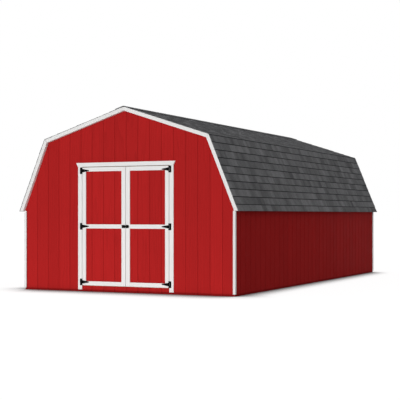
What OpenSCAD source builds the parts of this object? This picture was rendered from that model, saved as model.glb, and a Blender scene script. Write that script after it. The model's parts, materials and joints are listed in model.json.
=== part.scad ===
// Gambrel storage shed: timber floor, stud walls, plywood siding, trussed
// gambrel roof with shingles, and a pair of outward-opening doors.
// Millimetres. +Z up, front gable faces -Y, origin on the ground at the centre.

/* [Footprint] */
// Width over the floor frame
floor_w = 3658; // [3400:1:4200]
// Length over the floor frame
floor_l = 7315; // [6600:1:9000]

/* [Lumber] */
// Thickness of the framing lumber
stud_t = 38; // [32:1:45]
// Depth of the wall studs and rafters
stud_d = 89; // [75:1:100]
// Saw gap left where two boards of one group meet
board_gap = 1; // [0.5:0.1:2]
// Clearance between sloping faces that bear on each other
seat_gap = 0.1; // [0.05:0.05:0.5]
// Largest spacing of the wall studs and the roof trusses
frame_pitch = 610; // [500:1:700]

/* [Floor] */
// Height of the floor joists
joist_h = 89; // [80:1:120]
// Largest spacing of the floor joists
joist_pitch = 406; // [350:1:500]
// Thickness of the floor sheets
floor_t = 16; // [12:1:20]

/* [Walls] */
// Height of the side walls from the floor to the top of the plate
wall_h = 1219; // [1100:1:1500]
// Thickness of the siding sheets
siding_t = 9.5; // [8:0.5:13]

/* [Roof] */
// Pitch of the upper slope in degrees
upper_pitch = 18; // [12:0.5:25]
// Pitch of the lower slope in degrees
lower_pitch = 67.5; // [60:0.5:72]
// Distance of the roof break inside the wall frame's outer face
knee_inset = 388; // [340:1:450]
// Reach of the roof sheet past the frame at plate height
eave_reach = 57.5; // [54:0.5:75]
// Drop of the eave below the top of the plate
eave_drop = 61; // [50:1:70]
// Air gap left over the eave blocks
vent_gap = 20; // [10:1:40]
// Thickness of the roof sheets
deck_t = 11; // [9:0.5:15]
// Thickness of the shingle layer
shingle_t = 9; // [6:0.5:14]
// Overhang of the shingles past the rake boards and the eave
shingle_lip = 5; // [3:1:10]
// Width of the ridge cap on each slope
cap_w = 150; // [120:1:200]
// Thickness of the ridge cap
cap_t = 6; // [4:0.5:9]
// Length of the gusset plates along each rafter
gusset_l = 240; // [180:1:280]
// Thickness of the gusset plates
gusset_t = 11; // [8:0.5:13]

/* [Trim] */
// Thickness of the trim boards
trim_t = 16; // [12:1:20]
// Height of the lower ends of the trim over the ground
trim_foot = 30; // [15:1:60]
// Width of the corner boards on each face
corner_w = 40; // [36:1:60]
// Width of the rake boards
rake_w = 57; // [52:0.5:85]
// Thickness of the backing strip behind the rake boards
backer = 38; // [32:1:45]
// Width of the side casings of the door
casing_w = 71; // [60:1:90]
// Height of the head casing of the door
head_h = 63; // [55:1:90]
// Thickness of the head casing of the door
head_t = 25; // [16:1:32]
// Flare of the head casing past the side casings
head_flare = 30; // [15:1:50]

/* [Door] */
// Width of the doorway
door_w = 1536; // [1300:1:1700]
// Distance of the seam between the leaves to the right of the middle
seam_x = 15; // [-40:1:40]
// Height of the doorway's top over the ground
door_top = 1955; // [1850:1:2000]
// Height of the leaves' lower edge over the ground
leaf_foot = 97; // [80:1:104]
// Clearance at the sides of the leaves and under them
door_gap = 6; // [5:0.5:8]
// Clearance over the leaves
head_gap = 9; // [5:0.5:12]
// Width of the leaves' rails and of their boards at the hinges
leaf_board = 65; // [65:1:90]
// Width of the leaves' boards at the seam
meeting_board = 70; // [66:1:90]
// Depth of the frame behind each leaf
back_t = 38; // [30:1:45]
// Width of the frame boards behind each leaf
back_w = 64; // [50:1:80]
// Setback of the frame behind each leaf from the leaf's edges
back_inset = 12; // [10:1:20]
// Clearance of that frame over the floor
back_lift = 8; // [6:1:20]
// Height of the door header
header_h = 140; // [100:1:160]
// Thickness of the door stops
stop_t = 19; // [15:1:25]
// Width of the door stops
stop_w = 32; // [28:1:40]

/* [Hinges] */
// Height of the hinge plates
hinge_h = 102; // [85:1:110]
// Width of the hinge plates
hinge_plate_w = 38; // [30:1:45]
// Length of the hinge straps
strap_l = 124; // [90:1:150]
// Height of the straps at the barrel
strap_root = 54; // [40:1:60]
// Height of the straps at the tip
strap_tip = 15; // [10:1:20]
// Thickness of the hinge and latch plates
plate_t = 3; // [2:0.5:4]
// Radius of the hinge barrels
barrel_r = 7; // [6:0.5:8]
// Radius of the hinge pins
pin_r = 3; // [2:0.5:4]
// Running clearance of pins and rods
pin_play = 0.1; // [0.05:0.05:0.3]
// Distance of the end hinges from the leaf's ends
hinge_inset = 51; // [49.5:0.5:90]

/* [Latch] */
// Length of the latch plate
latch_l = 50; // [48:1:64]
// Length of the keeper plate
keeper_l = 62; // [40:1:64]
// Height of the latch and keeper plates
latch_h = 47; // [38:1:55]
// Distance of the latch plates from the leaf's edge
latch_inset = 1.5; // [1:0.5:2]
// Radius of the bolt
bolt_r = 6; // [5:0.5:7]
// Clearance of the bolt in its keeper
keeper_play = 2; // [1:0.5:4]
// Thickness of the metal round the bolt
guide_wall = 4; // [3:0.5:5]
// Length of each bolt guide
guide_l = 8; // [6:0.5:10]
// Travel of the bolt
bolt_travel = 17; // [14:0.5:20]
// Radius of the grip on the bolt
grip_r = 3; // [2:0.5:4]
// Length of the grip on the bolt
grip_l = 14; // [10:1:16]

/* [Hidden] */
$fn = 48;
half_w = floor_w / 2;
half_l = floor_l / 2;
floor_z = joist_h + floor_t;
plate_z = floor_z + wall_h;
eave_z = plate_z - eave_drop;

// Outer faces of the siding and of the trim
side_x = half_w + siding_t;
gable_y = half_l + siding_t;
trim_y = gable_y + trim_t;
rake_y = gable_y + backer;
shingle_y = rake_y + trim_t + shingle_lip;

// Roof section: lines at depth d below the top of the roof sheets
eave_x = half_w + eave_reach;
knee_x = half_w - knee_inset;
knee_top_z = plate_z + (eave_x - knee_x) * tan(lower_pitch);
apex_z = knee_top_z + knee_x * tan(upper_pitch);
rafter_top = deck_t + seat_gap;
rafter_d = rafter_top + stud_d;
stud_top = rafter_d + seat_gap;
shingle_low = -seat_gap;
shingle_high = shingle_low - shingle_t;
function upper_z(x, d) = apex_z - abs(x) * tan(upper_pitch) - d / cos(upper_pitch);
function lower_x(z, d) = eave_x - (z - plate_z) / tan(lower_pitch) - d / sin(lower_pitch);
function lower_z(x, d) = plate_z + (eave_x - d / sin(lower_pitch) - abs(x)) * tan(lower_pitch);
function under_z(x, d) = min(upper_z(x, d), lower_z(x, d));
function knee_at(d) =
    (eave_x - d / sin(lower_pitch) - (apex_z - d / cos(upper_pitch) - plate_z) / tan(lower_pitch))
    / (1 - tan(upper_pitch) / tan(lower_pitch));
function knee(d) = [knee_at(d), upper_z(knee_at(d), d)];

// Even spacing of members between two ends, no wider than the pitch
function spaced(span, pitch) = let (n = ceil(span / pitch)) [for (i = [0:n]) -span / 2 + i * span / n];
joist_y = spaced(floor_l - stud_t, joist_pitch);
frame_y = spaced(floor_l - stud_t, frame_pitch);

// Gable studs: the end studs stand against the side walls, the king studs beside the doorway
end_stud_x = half_w - stud_d - board_gap - stud_t / 2;
king_x = door_w / 2 + board_gap + stud_t * 1.5;
rear_stud_x = spaced(2 * end_stud_x, frame_pitch);
cripple_x = [for (x = spaced(2 * king_x, frame_pitch)) if (abs(x) < king_x - stud_t) x];

// Doorway and leaves
door_x = door_w / 2;
leaf_in = door_gap / 2;
leaf_out = door_x - door_gap;
leaf_top = door_top - head_gap;
leaf_mid = (leaf_foot + leaf_top) / 2;
rail_z = [leaf_foot, leaf_mid - leaf_board / 2, leaf_top - leaf_board];
back_foot = floor_z + back_lift;
back_top = leaf_top - back_inset;
back_rail_z = [back_foot, leaf_mid - back_w / 2, back_top - back_w];
stop_y = half_l - back_t - door_gap;

// Hinges: the pins stand in front of the gap between leaf and casing
barrel_seat = 0.5;
knuckle_gap = 2;
pin_x = door_x - door_gap / 2;
pin_y = trim_y + barrel_seat + barrel_r;
hinge_z = [leaf_foot + hinge_inset, leaf_mid, leaf_top - hinge_inset];

// Latch: the bolt is drawn back at rest
bolt_y = trim_y + plate_t + bolt_r + pin_play;
guide_r = bolt_r + pin_play + guide_wall;
latch_in = leaf_in + latch_inset;
grip_play = 1;
rear_guide = guide_l + bolt_travel + 2 * (grip_r + grip_play);
bolt_l = rear_guide + guide_l + bolt_travel;

red = "#a82224";
white = "#e4e5e3";
charcoal = "#4c4c4e";
bare_wood = "#d2ac78";
sheet_wood = "#bd9662";
black = "#17181a";

// Placing helpers

module both_sides() {
    children();
    mirror([1, 0, 0]) children();
}

module both_ends() {
    children();
    mirror([0, 1, 0]) children();
}

// Sweeps a section drawn in X and Z from y0 to y1
module along(y0, y1) {
    translate([0, y1, 0]) rotate([90, 0, 0]) linear_extrude(height = y1 - y0) children();
}

module block(low, high) {
    translate(low) cube(high - low);
}

// Roof sections for the right-hand slopes, between depths d0 and d1

module lower_band(d0, d1, foot_z) {
    polygon([[lower_x(foot_z, d0), foot_z], knee(d0), knee(d1), [lower_x(foot_z, d1), foot_z]]);
}

module upper_band(d0, d1) {
    ridge = board_gap / 2;
    top = knee_at(d0) - board_gap;
    low = knee_at(d1) - board_gap;
    polygon([
        [top, upper_z(top, d0)], [ridge, upper_z(ridge, d0)],
        [ridge, upper_z(ridge, d1)], [low, upper_z(low, d1)]
    ]);
}

// Floor

module floor_joists() color(bare_wood) {
    joist_x = half_w - stud_t - board_gap;
    for (y = joist_y) block([-joist_x, y - stud_t / 2, 0], [joist_x, y + stud_t / 2, joist_h]);
    both_sides() block([half_w - stud_t, -half_l, 0], [half_w, half_l, joist_h]);
}

module floor_deck() color(sheet_wood) {
    block([-half_w, -half_l, joist_h], [half_w, half_l, floor_z]);
}

// Wall frames

module wall_plates() color(bare_wood) {
    inner = half_w - stud_d;
    z1 = floor_z + stud_t;
    for (z = [floor_z, plate_z - stud_t])
        both_sides() block([inner, -half_l, z], [half_w, half_l, z + stud_t]);
    end_x = inner - board_gap;
    block([-end_x, half_l - stud_d, floor_z], [end_x, half_l, z1]);
    both_sides() block([door_x, -half_l, floor_z], [end_x, stud_d - half_l, z1]);
}

module side_studs() color(bare_wood) {
    foot_z = floor_z + stud_t;
    for (y = frame_y)
        block([half_w - stud_d, y - stud_t / 2, foot_z], [half_w, y + stud_t / 2, plate_z - stud_t]);
}

// Upright in a gable wall, cut to the slope under the end rafters
module gable_stud(x, foot_z) {
    x0 = x - stud_t / 2;
    x1 = x + stud_t / 2;
    polygon([[x0, foot_z], [x1, foot_z], [x1, under_z(x1, stud_top)], [x0, under_z(x0, stud_top)]]);
}

module front_wall_studs() color(bare_wood) along(-half_l, stud_d - half_l) {
    foot_z = floor_z + stud_t;
    both_sides() {
        translate([door_x, foot_z]) square([stud_t, door_top - foot_z]);
        for (x = [king_x, (king_x + end_stud_x) / 2, end_stud_x]) gable_stud(x, foot_z);
    }
    for (x = cripple_x) gable_stud(x, door_top + header_h);
}

module rear_wall_studs() color(bare_wood) along(half_l - stud_d, half_l) {
    for (x = rear_stud_x) gable_stud(x, floor_z + stud_t);
}

module door_header() color(bare_wood) {
    end_x = door_x + stud_t;
    block([-end_x, -half_l, door_top], [end_x, 2 * stud_t - half_l, door_top + header_h]);
}

// Siding

module side_sheet() color(red) {
    block([half_w, -half_l, 0], [side_x, half_l, plate_z]);
}

module rear_siding() color(red) along(half_l, gable_y) polygon([
    [-side_x, 0], [side_x, 0], [side_x, lower_z(side_x, rafter_top)],
    knee(rafter_top), [0, upper_z(0, rafter_top)], [-knee_at(rafter_top), knee(rafter_top)[1]],
    [-side_x, lower_z(side_x, rafter_top)]
]);

module front_side_sheet() color(red) along(-gable_y, -half_l) polygon([
    [door_x, 0], [side_x, 0], [side_x, lower_z(side_x, rafter_top)],
    knee(rafter_top), [door_x, upper_z(door_x, rafter_top)]
]);

module front_gable_siding() color(red) along(-gable_y, -half_l) polygon([
    [-door_x, door_top], [door_x, door_top], [door_x, upper_z(door_x, rafter_top)],
    [0, upper_z(0, rafter_top)], [-door_x, upper_z(door_x, rafter_top)]
]);

module front_sill_siding() color(red) {
    block([-door_x, -gable_y, 0], [door_x, -half_l, leaf_foot - door_gap]);
}

// Roof

module lower_rafters() color(bare_wood) {
    for (y = frame_y) along(y - stud_t / 2, y + stud_t / 2) both_sides()
        lower_band(rafter_top, rafter_d, plate_z);
}

module upper_rafters() color(bare_wood) {
    for (y = frame_y) along(y - stud_t / 2, y + stud_t / 2) both_sides()
        upper_band(rafter_top, rafter_d);
}

// Blocks that close the eaves between the rafters, short of the roof sheets
module eave_blocks() color(bare_wood) for (i = [0:len(frame_y) - 2]) {
    inset = stud_t / 2 + board_gap;
    top_z = lower_z(half_w, rafter_top) - vent_gap;
    both_sides()
        block([half_w - stud_t, frame_y[i] + inset, plate_z], [half_w, frame_y[i + 1] - inset, top_z]);
}

// Points on the rafters' upper and lower edges at a run from the roof break
function upper_run(d, run) = [knee_at(d) - run * cos(upper_pitch), knee(d)[1] + run * sin(upper_pitch)];
function lower_run(d, run) = [knee_at(d) + run * cos(lower_pitch), knee(d)[1] - run * sin(lower_pitch)];

module knee_gusset() {
    polygon([
        upper_run(rafter_top, gusset_l), knee(rafter_top), lower_run(rafter_top, gusset_l),
        lower_run(rafter_d, gusset_l), upper_run(rafter_d, gusset_l)
    ]);
}

module ridge_gusset() {
    x = gusset_l * cos(upper_pitch);
    polygon([
        [-x, upper_z(x, rafter_top)], [0, upper_z(0, rafter_top)], [x, upper_z(x, rafter_top)],
        [x, upper_z(x, rafter_d)], [-x, upper_z(x, rafter_d)]
    ]);
}

// Plates on both faces of every truss that stands clear of the gable walls
module truss_gussets() color(sheet_wood) {
    for (i = [1:len(frame_y) - 2], face = [-1, 1]) {
        y = frame_y[i] + face * (stud_t + gusset_t) / 2;
        along(y - gusset_t / 2, y + gusset_t / 2) {
            both_sides() knee_gusset();
            ridge_gusset();
        }
    }
}

module roof_deck() color(sheet_wood) along(-rake_y, rake_y) both_sides() {
    lower_band(0, deck_t, eave_z);
    upper_band(0, deck_t);
}

module lower_shingles() color(charcoal) along(-shingle_y, shingle_y) {
    lower_band(shingle_high, shingle_low, eave_z - shingle_lip);
}

module upper_shingles() color(charcoal) along(-shingle_y, shingle_y) {
    upper_band(shingle_high, shingle_low);
}

module ridge_cap() color(charcoal) along(-shingle_y, shingle_y) {
    under = shingle_high - seat_gap;
    over = under - cap_t;
    polygon([
        [-cap_w, upper_z(cap_w, under)], [0, upper_z(0, under)], [cap_w, upper_z(cap_w, under)],
        [cap_w, upper_z(cap_w, over)], [0, upper_z(0, over)], [-cap_w, upper_z(cap_w, over)]
    ]);
}

// Trim

module rake_backers() color(white) both_ends() along(-rake_y, -gable_y) both_sides() {
    lower_band(rafter_top, rake_w, eave_z);
    upper_band(rafter_top, rake_w);
}

module rake_boards() color(white) both_ends() along(-rake_y - trim_t, -rake_y) both_sides() {
    lower_band(0, rake_w, eave_z);
    upper_band(0, rake_w);
}

module corner_boards() color(white) both_ends() both_sides() {
    outer = side_x + trim_t;
    block([outer - corner_w, -trim_y, trim_foot], [outer, -gable_y, eave_z]);
    block([side_x, board_gap - gable_y, trim_foot], [outer, corner_w - trim_y, plate_z]);
}

// Door surround

module door_side_casings() color(white) both_sides() {
    block([door_x, -trim_y, trim_foot], [door_x + casing_w, -gable_y, door_top]);
}

module door_head_casing() color(white) along(-gable_y - head_t, -gable_y) {
    low_x = door_x + casing_w;
    top_x = low_x + head_flare;
    top_z = door_top + head_h;
    polygon([[-low_x, door_top], [low_x, door_top], [top_x, top_z], [-top_x, top_z]]);
}

module door_stops() color(bare_wood) {
    both_sides() block([door_x - stop_w, -stop_y, floor_z], [door_x, stop_t - stop_y, door_top]);
    head_x = door_x - stop_w - board_gap;
    block([-head_x, -stop_y, door_top - stop_w], [head_x, stop_t - stop_y, door_top]);
}

// Leaves, drawn for the right-hand side, with the seam at a distance from the middle

module leaf_panel(seam) color(red) {
    block([seam + leaf_in, -gable_y, leaf_foot], [leaf_out, -half_l, leaf_top]);
}

module leaf_stiles(seam) color(white) {
    edge = seam + leaf_in;
    block([edge, -trim_y, leaf_foot], [edge + meeting_board, -gable_y, leaf_top]);
    block([leaf_out - leaf_board, -trim_y, leaf_foot], [leaf_out, -gable_y, leaf_top]);
}

module leaf_rails(seam) color(white) for (z = rail_z) {
    x0 = seam + leaf_in + meeting_board + board_gap / 2;
    x1 = leaf_out - leaf_board - board_gap / 2;
    block([x0, -trim_y, z], [x1, -gable_y, z + leaf_board]);
}

module leaf_back_frame(seam) color(bare_wood) {
    x0 = seam + leaf_in + back_inset;
    x1 = leaf_out - back_inset;
    for (x = [x0, x1 - back_w]) block([x, -half_l, back_foot], [x + back_w, back_t - half_l, back_top]);
    inset = back_w + board_gap;
    for (z = back_rail_z) block([x0 + inset, -half_l, z], [x1 - inset, back_t - half_l, z + back_w]);
}

// Hinges, drawn for the right-hand side

// Fixed half: a plate on the casing, two barrel ends and the pin between them
module hinge_plate() {
    knuckle_h = (hinge_h - strap_root) / 2 - knuckle_gap;
    clear_x = barrel_r + knuckle_gap;
    back_y = pin_y - trim_y;
    face_y = back_y - plate_t;
    translate([pin_x, -pin_y, 0]) {
        block([clear_x, face_y, -hinge_h / 2], [hinge_plate_w, back_y, hinge_h / 2]);
        for (z = [-hinge_h / 2, hinge_h / 2 - knuckle_h]) {
            block([0, face_y, z], [clear_x, back_y, z + knuckle_h]);
            translate([0, 0, z]) cylinder(r = barrel_r, h = knuckle_h);
        }
        translate([0, 0, -hinge_h / 2]) cylinder(r = pin_r, h = hinge_h);
    }
}

// Moving half: a tapered strap on the leaf and the middle of the barrel
module hinge_strap() {
    root = strap_root / 2;
    tip = strap_tip / 2;
    translate([pin_x, -pin_y, 0]) difference() {
        union() {
            along(pin_y - trim_y - plate_t, pin_y - trim_y) {
                polygon([[0, -root], [0, root], [tip - strap_l, tip], [tip - strap_l, -tip]]);
                translate([tip - strap_l, 0]) circle(r = tip);
            }
            translate([0, 0, -root]) cylinder(r = barrel_r, h = strap_root);
        }
        translate([0, 0, -strap_root]) cylinder(r = pin_r + pin_play, h = 2 * strap_root);
    }
}

module hinge_plates() color(black) both_sides() for (z = hinge_z) translate([0, 0, z]) hinge_plate();

module hinge_straps() color(black) for (z = hinge_z) translate([0, 0, z]) hinge_strap();

// Latch: a barrel bolt on the right leaf and its keeper on the left leaf, drawn with the seam in the middle

// Block with a round hole for the bolt, standing on a plate, from x0 along X
module bolt_guide(x0, length) {
    translate([x0, -bolt_y, leaf_mid]) difference() {
        block([0, -guide_r, -guide_r], [length, bolt_y - trim_y - plate_t / 2, guide_r]);
        translate([-length, 0, 0]) rotate([0, 90, 0]) cylinder(r = bolt_r + pin_play, h = 3 * length);
    }
}

module latch_plate(x0, x1) {
    block([x0, -trim_y - plate_t, leaf_mid - latch_h / 2], [x1, -trim_y, leaf_mid + latch_h / 2]);
}

module latch_body() color(black) {
    latch_plate(latch_in, latch_in + latch_l);
    bolt_guide(latch_in, guide_l);
    bolt_guide(latch_in + rear_guide, guide_l);
}

// The keeper's loop is a bent strap with a square hole, as long as the bolt reaches
module latch_keeper() color(black) {
    hole = bolt_r + keeper_play;
    outer = hole + guide_wall;
    seat_y = bolt_y - trim_y - plate_t;
    latch_plate(-latch_in - keeper_l, -latch_in);
    translate([-latch_in - bolt_travel, -bolt_y, leaf_mid]) difference() {
        block([0, -outer, -outer], [bolt_travel, seat_y + plate_t / 2, outer]);
        block([-guide_l, -hole, -hole], [bolt_travel + guide_l, seat_y, hole]);
    }
}

module latch_bolt() color(black) translate([latch_in, -bolt_y, leaf_mid]) {
    rotate([0, 90, 0]) cylinder(r = bolt_r, h = bolt_l);
    translate([rear_guide - grip_r - grip_play, 0, 0])
        rotate([90, 0, 0]) cylinder(r = grip_r, h = guide_r + grip_l);
}

floor_joists();
floor_deck();
wall_plates();
mirror([1, 0, 0]) side_studs();  // left_wall_studs
side_studs();  // right_wall_studs
front_wall_studs();
rear_wall_studs();
door_header();
mirror([1, 0, 0]) side_sheet();  // left_siding
side_sheet();  // right_siding
rear_siding();
mirror([1, 0, 0]) front_side_sheet();  // front_left_siding
front_side_sheet();  // front_right_siding
front_gable_siding();
front_sill_siding();
lower_rafters();
upper_rafters();
truss_gussets();
eave_blocks();
roof_deck();
mirror([1, 0, 0]) lower_shingles();  // left_lower_shingles
mirror([1, 0, 0]) upper_shingles();  // left_upper_shingles
upper_shingles();  // right_upper_shingles
lower_shingles();  // right_lower_shingles
ridge_cap();
rake_backers();
rake_boards();
corner_boards();
door_side_casings();
door_head_casing();
door_stops();
hinge_plates();
mirror([1, 0, 0]) leaf_panel(-seam_x);  // left_door_panel
mirror([1, 0, 0]) leaf_stiles(-seam_x);  // left_door_stiles
mirror([1, 0, 0]) leaf_rails(-seam_x);  // left_door_rails
mirror([1, 0, 0]) leaf_back_frame(-seam_x);  // left_door_back_frame
mirror([1, 0, 0]) hinge_straps();  // left_hinge_straps
translate([seam_x, 0, 0]) latch_keeper();
leaf_panel(seam_x);  // right_door_panel
leaf_stiles(seam_x);  // right_door_stiles
leaf_rails(seam_x);  // right_door_rails
leaf_back_frame(seam_x);  // right_door_back_frame
hinge_straps();  // right_hinge_straps
translate([seam_x, 0, 0]) latch_body();
translate([seam_x, 0, 0]) latch_bolt();
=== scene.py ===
import json
import math
import random

import bmesh
import bpy
import numpy as np
from mathutils import Matrix, Vector


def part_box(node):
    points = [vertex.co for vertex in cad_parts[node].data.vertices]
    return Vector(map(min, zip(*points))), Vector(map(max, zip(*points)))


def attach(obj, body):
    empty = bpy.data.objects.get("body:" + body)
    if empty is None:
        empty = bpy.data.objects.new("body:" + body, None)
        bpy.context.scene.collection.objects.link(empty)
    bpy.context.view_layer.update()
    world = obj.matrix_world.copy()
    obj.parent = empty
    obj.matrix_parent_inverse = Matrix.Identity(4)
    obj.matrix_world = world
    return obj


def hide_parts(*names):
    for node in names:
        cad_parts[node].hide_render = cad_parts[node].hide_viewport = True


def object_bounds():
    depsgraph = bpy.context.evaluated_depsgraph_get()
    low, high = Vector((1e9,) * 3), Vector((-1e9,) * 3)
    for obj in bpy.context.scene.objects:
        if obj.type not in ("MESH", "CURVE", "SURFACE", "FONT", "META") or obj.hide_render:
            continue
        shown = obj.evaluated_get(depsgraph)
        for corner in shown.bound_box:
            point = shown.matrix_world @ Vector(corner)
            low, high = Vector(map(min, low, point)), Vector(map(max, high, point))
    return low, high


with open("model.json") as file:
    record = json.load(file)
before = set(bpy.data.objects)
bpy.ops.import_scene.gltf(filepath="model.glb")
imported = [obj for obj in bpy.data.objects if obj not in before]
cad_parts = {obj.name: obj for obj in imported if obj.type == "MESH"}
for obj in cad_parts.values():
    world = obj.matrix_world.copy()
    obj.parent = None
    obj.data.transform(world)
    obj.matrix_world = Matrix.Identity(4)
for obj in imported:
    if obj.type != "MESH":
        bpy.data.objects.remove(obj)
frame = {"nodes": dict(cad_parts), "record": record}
cad_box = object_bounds()

# Floor frame: spruce joists between two rim boards, nailed through the rims into the joists' ends.
# Every stick is bare planed lumber with eased edges, a tone of its own and grain along its length.
LUMBER_EASE = 0.003
EASE_SEGMENTS = 2
MERGE_DISTANCE = 0.00005
FLAT_ANGLE = math.radians(1)
SHARP_ANGLE = math.radians(40)
PITH_REACH = 0.12
GRAIN_OFFSET = 100.0
GRAIN_DRAW = (0.07, 1, 1)
GRAIN_SWAY = 0.05
RING_POWER = 2.5
FIBRES_PER_METRE = (5, 260, 260)
SPRUCE_RINGS = 210.0
SPRUCE_PALE = (0.66, 0.46, 0.25, 1)
SPRUCE_DEEP = (0.53, 0.34, 0.17, 1)
SPRUCE_RING = (0.36, 0.19, 0.08, 1)
SPRUCE_RING_MIX = 0.55
SPRUCE_FIBRE = (0.72, 0.52, 0.30, 1)
SPRUCE_FIBRE_MIX = 0.25
SPRUCE_KNOT = (0.17, 0.075, 0.03, 1)
KNOTS_PER_METRE = (2.4, 11, 11)
KNOT_HEART = 0.08
KNOT_EDGE = 0.16
draw = random.Random(24)


def only(piece):
    """Makes the piece the one selected and active object."""
    bpy.ops.object.select_all(action="DESELECT")
    piece.select_set(True)
    bpy.context.view_layer.objects.active = piece


def edit(piece):
    """Opens the piece in edit mode with everything on it selected."""
    only(piece)
    bpy.ops.object.mode_set(mode="EDIT")
    bpy.ops.mesh.select_all(action="SELECT")


def leave_edit():
    bpy.ops.object.mode_set(mode="OBJECT")


def finish_modifier(piece, kind, **settings):
    """Adds a modifier with these settings and applies it."""
    only(piece)
    modifier = piece.modifiers.new(kind.lower(), kind)
    for name, value in settings.items():
        setattr(modifier, name, value)
    bpy.ops.object.modifier_apply(modifier=modifier.name)


def add_object(name, data):
    """A new object in the scene, with this mesh, lamp or camera."""
    thing = bpy.data.objects.new(name, data)
    bpy.context.collection.objects.link(thing)
    return thing


def node_copy(node):
    """A copy of a CAD node's mesh, merged, with each flat face whole."""
    piece = add_object(f"{node}_finished", frame["nodes"][node].data.copy())
    piece.data.materials.clear()
    edit(piece)
    bpy.ops.mesh.customdata_custom_splitnormals_clear()
    bpy.ops.mesh.remove_doubles(threshold=MERGE_DISTANCE)
    bpy.ops.mesh.dissolve_limited(angle_limit=FLAT_ANGLE)
    leave_edit()
    bpy.ops.object.shade_flat()
    return piece


def ease_edges(piece, width):
    """Rounds the sharp edges, as a planer or a sander leaves them."""
    finish_modifier(piece, "BEVEL", width=width, segments=EASE_SEGMENTS, angle_limit=SHARP_ANGLE)


def store(mesh, name, kind, domain, values):
    """Writes an attribute that the materials read."""
    layer = mesh.attributes.new(name, kind, domain)
    field = "vector" if kind == "FLOAT_VECTOR" else "value"
    layer.data.foreach_set(field, np.asarray(values, np.float32).ravel())


def unit(vector):
    return vector / np.linalg.norm(vector)


def lay_grain(piece):
    """Gives every loose board its place along, across and through the wood, and a tone of its own.

    Returns each board's middle, its three directions and its size along them."""
    mesh = piece.data
    place = np.array([v.co for v in mesh.vertices])
    ends = np.array([e.vertices[:] for e in mesh.edges])
    span = place[ends[:, 1]] - place[ends[:, 0]]
    length = np.linalg.norm(span, axis=1)
    board = np.arange(len(place))
    while (board[ends[:, 0]] != board[ends[:, 1]]).any():
        lowest = board[ends].min(axis=1)
        np.minimum.at(board, ends[:, 0], lowest)
        np.minimum.at(board, ends[:, 1], lowest)
    grain = np.zeros_like(place)
    tone = np.zeros(len(place))
    boards = []
    for first in np.unique(board):
        mine = board == first
        edges = np.flatnonzero(mine[ends[:, 0]])
        along = unit(span[edges[np.argmax(length[edges])]])
        across = unit(np.cross(np.eye(3)[np.argmin(np.abs(along))], along))
        axes = np.stack([along, across, np.cross(along, across)])
        local = place[mine] @ axes.T
        middle = (local.min(axis=0) + local.max(axis=0)) / 2
        pith = [draw.uniform(0, reach) for reach in (GRAIN_OFFSET, PITH_REACH, PITH_REACH)]
        grain[mine] = local - middle + pith
        tone[mine] = draw.random()
        boards.append((middle @ axes, axes, np.ptp(local, axis=0)))
    store(mesh, "grain", "FLOAT_VECTOR", "POINT", grain)
    store(mesh, "tone", "FLOAT", "POINT", tone)
    return boards


def feed(tree, node, feeds):
    """Gives a node's inputs their values or links."""
    for key, value in feeds.items():
        if isinstance(value, bpy.types.NodeSocket):
            tree.links.new(value, node.inputs[key])
        else:
            node.inputs[key].default_value = value


def add_node(tree, kind, feeds=None, **settings):
    """Adds a shader node, sets its options and feeds its inputs."""
    node = tree.nodes.new("ShaderNode" + kind)
    for name, value in settings.items():
        setattr(node, name, value)
    feed(tree, node, feeds or {})
    return node


def attribute(tree, name, output="Fac"):
    return add_node(tree, "Attribute", attribute_name=name).outputs[output]


def calc(tree, operation, a, b=0.0, c=0.0):
    return add_node(tree, "Math", {0: a, 1: b, 2: c}, operation=operation).outputs[0]


def stretch(tree, place, scale):
    return add_node(tree, "VectorMath", {0: place, 1: scale}, operation="MULTIPLY").outputs[0]


def split(tree, place):
    return add_node(tree, "SeparateXYZ", {0: place}).outputs


def noise(tree, place, scale, detail):
    return add_node(tree, "TexNoise", {"Vector": place, "Scale": scale, "Detail": detail}).outputs["Fac"]


def cells(tree, place, scale=1.0):
    return add_node(tree, "TexVoronoi", {"Vector": place, "Scale": scale}).outputs


def fade(tree, value, low, high, to_low=0.0, to_high=1.0):
    """Maps a value from one range to another, held at the ends."""
    feeds = {"Value": value, "From Min": low, "From Max": high, "To Min": to_low, "To Max": to_high}
    return add_node(tree, "MapRange", feeds).outputs["Result"]


def mix(tree, factor, a, b, blend="MIX"):
    """Mixes two colours: sockets 6 and 7 of a Mix node are its colours."""
    feeds = {0: factor, 6: a, 7: b}
    return add_node(tree, "Mix", feeds, data_type="RGBA", blend_type=blend).outputs[2]


def new_group(name, inputs, outputs):
    """An empty shader group: inputs and outputs are pairs of a name and a socket kind."""
    group = bpy.data.node_groups.new(name, "ShaderNodeTree")
    for label, kind in inputs:
        group.interface.new_socket(label, in_out="INPUT", socket_type="NodeSocket" + kind)
    for label, kind in outputs:
        group.interface.new_socket(label, in_out="OUTPUT", socket_type="NodeSocket" + kind)
    return group, group.nodes.new("NodeGroupInput").outputs, group.nodes.new("NodeGroupOutput").inputs


def use_group(tree, group, feeds):
    return add_node(tree, "Group", feeds, node_tree=group).outputs


def wood_grain_group():
    """Growth rings and fibres, from the place along (X), across (Y) and through (Z) the wood."""
    group, given, made = new_group(
        "wood_grain",
        [("Place", "Vector"), ("Rings per metre", "Float")],
        [("Rings", "Float"), ("Fibres", "Float")],
    )
    drawn_out = stretch(group, given["Place"], GRAIN_DRAW)
    sway = noise(group, drawn_out, scale=7, detail=2)
    reach = split(group, drawn_out)
    squares = [calc(group, "MULTIPLY", reach[axis], reach[axis]) for axis in ("Y", "Z")]
    radius = calc(group, "SQRT", calc(group, "ADD", *squares))
    swayed = calc(group, "MULTIPLY_ADD", sway, GRAIN_SWAY, radius)
    ring = calc(group, "FRACT", calc(group, "MULTIPLY", swayed, given["Rings per metre"]))
    fibres = noise(group, stretch(group, given["Place"], FIBRES_PER_METRE), scale=1, detail=3)
    group.links.new(calc(group, "POWER", ring, RING_POWER), made["Rings"])
    group.links.new(fibres, made["Fibres"])
    return group


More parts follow.
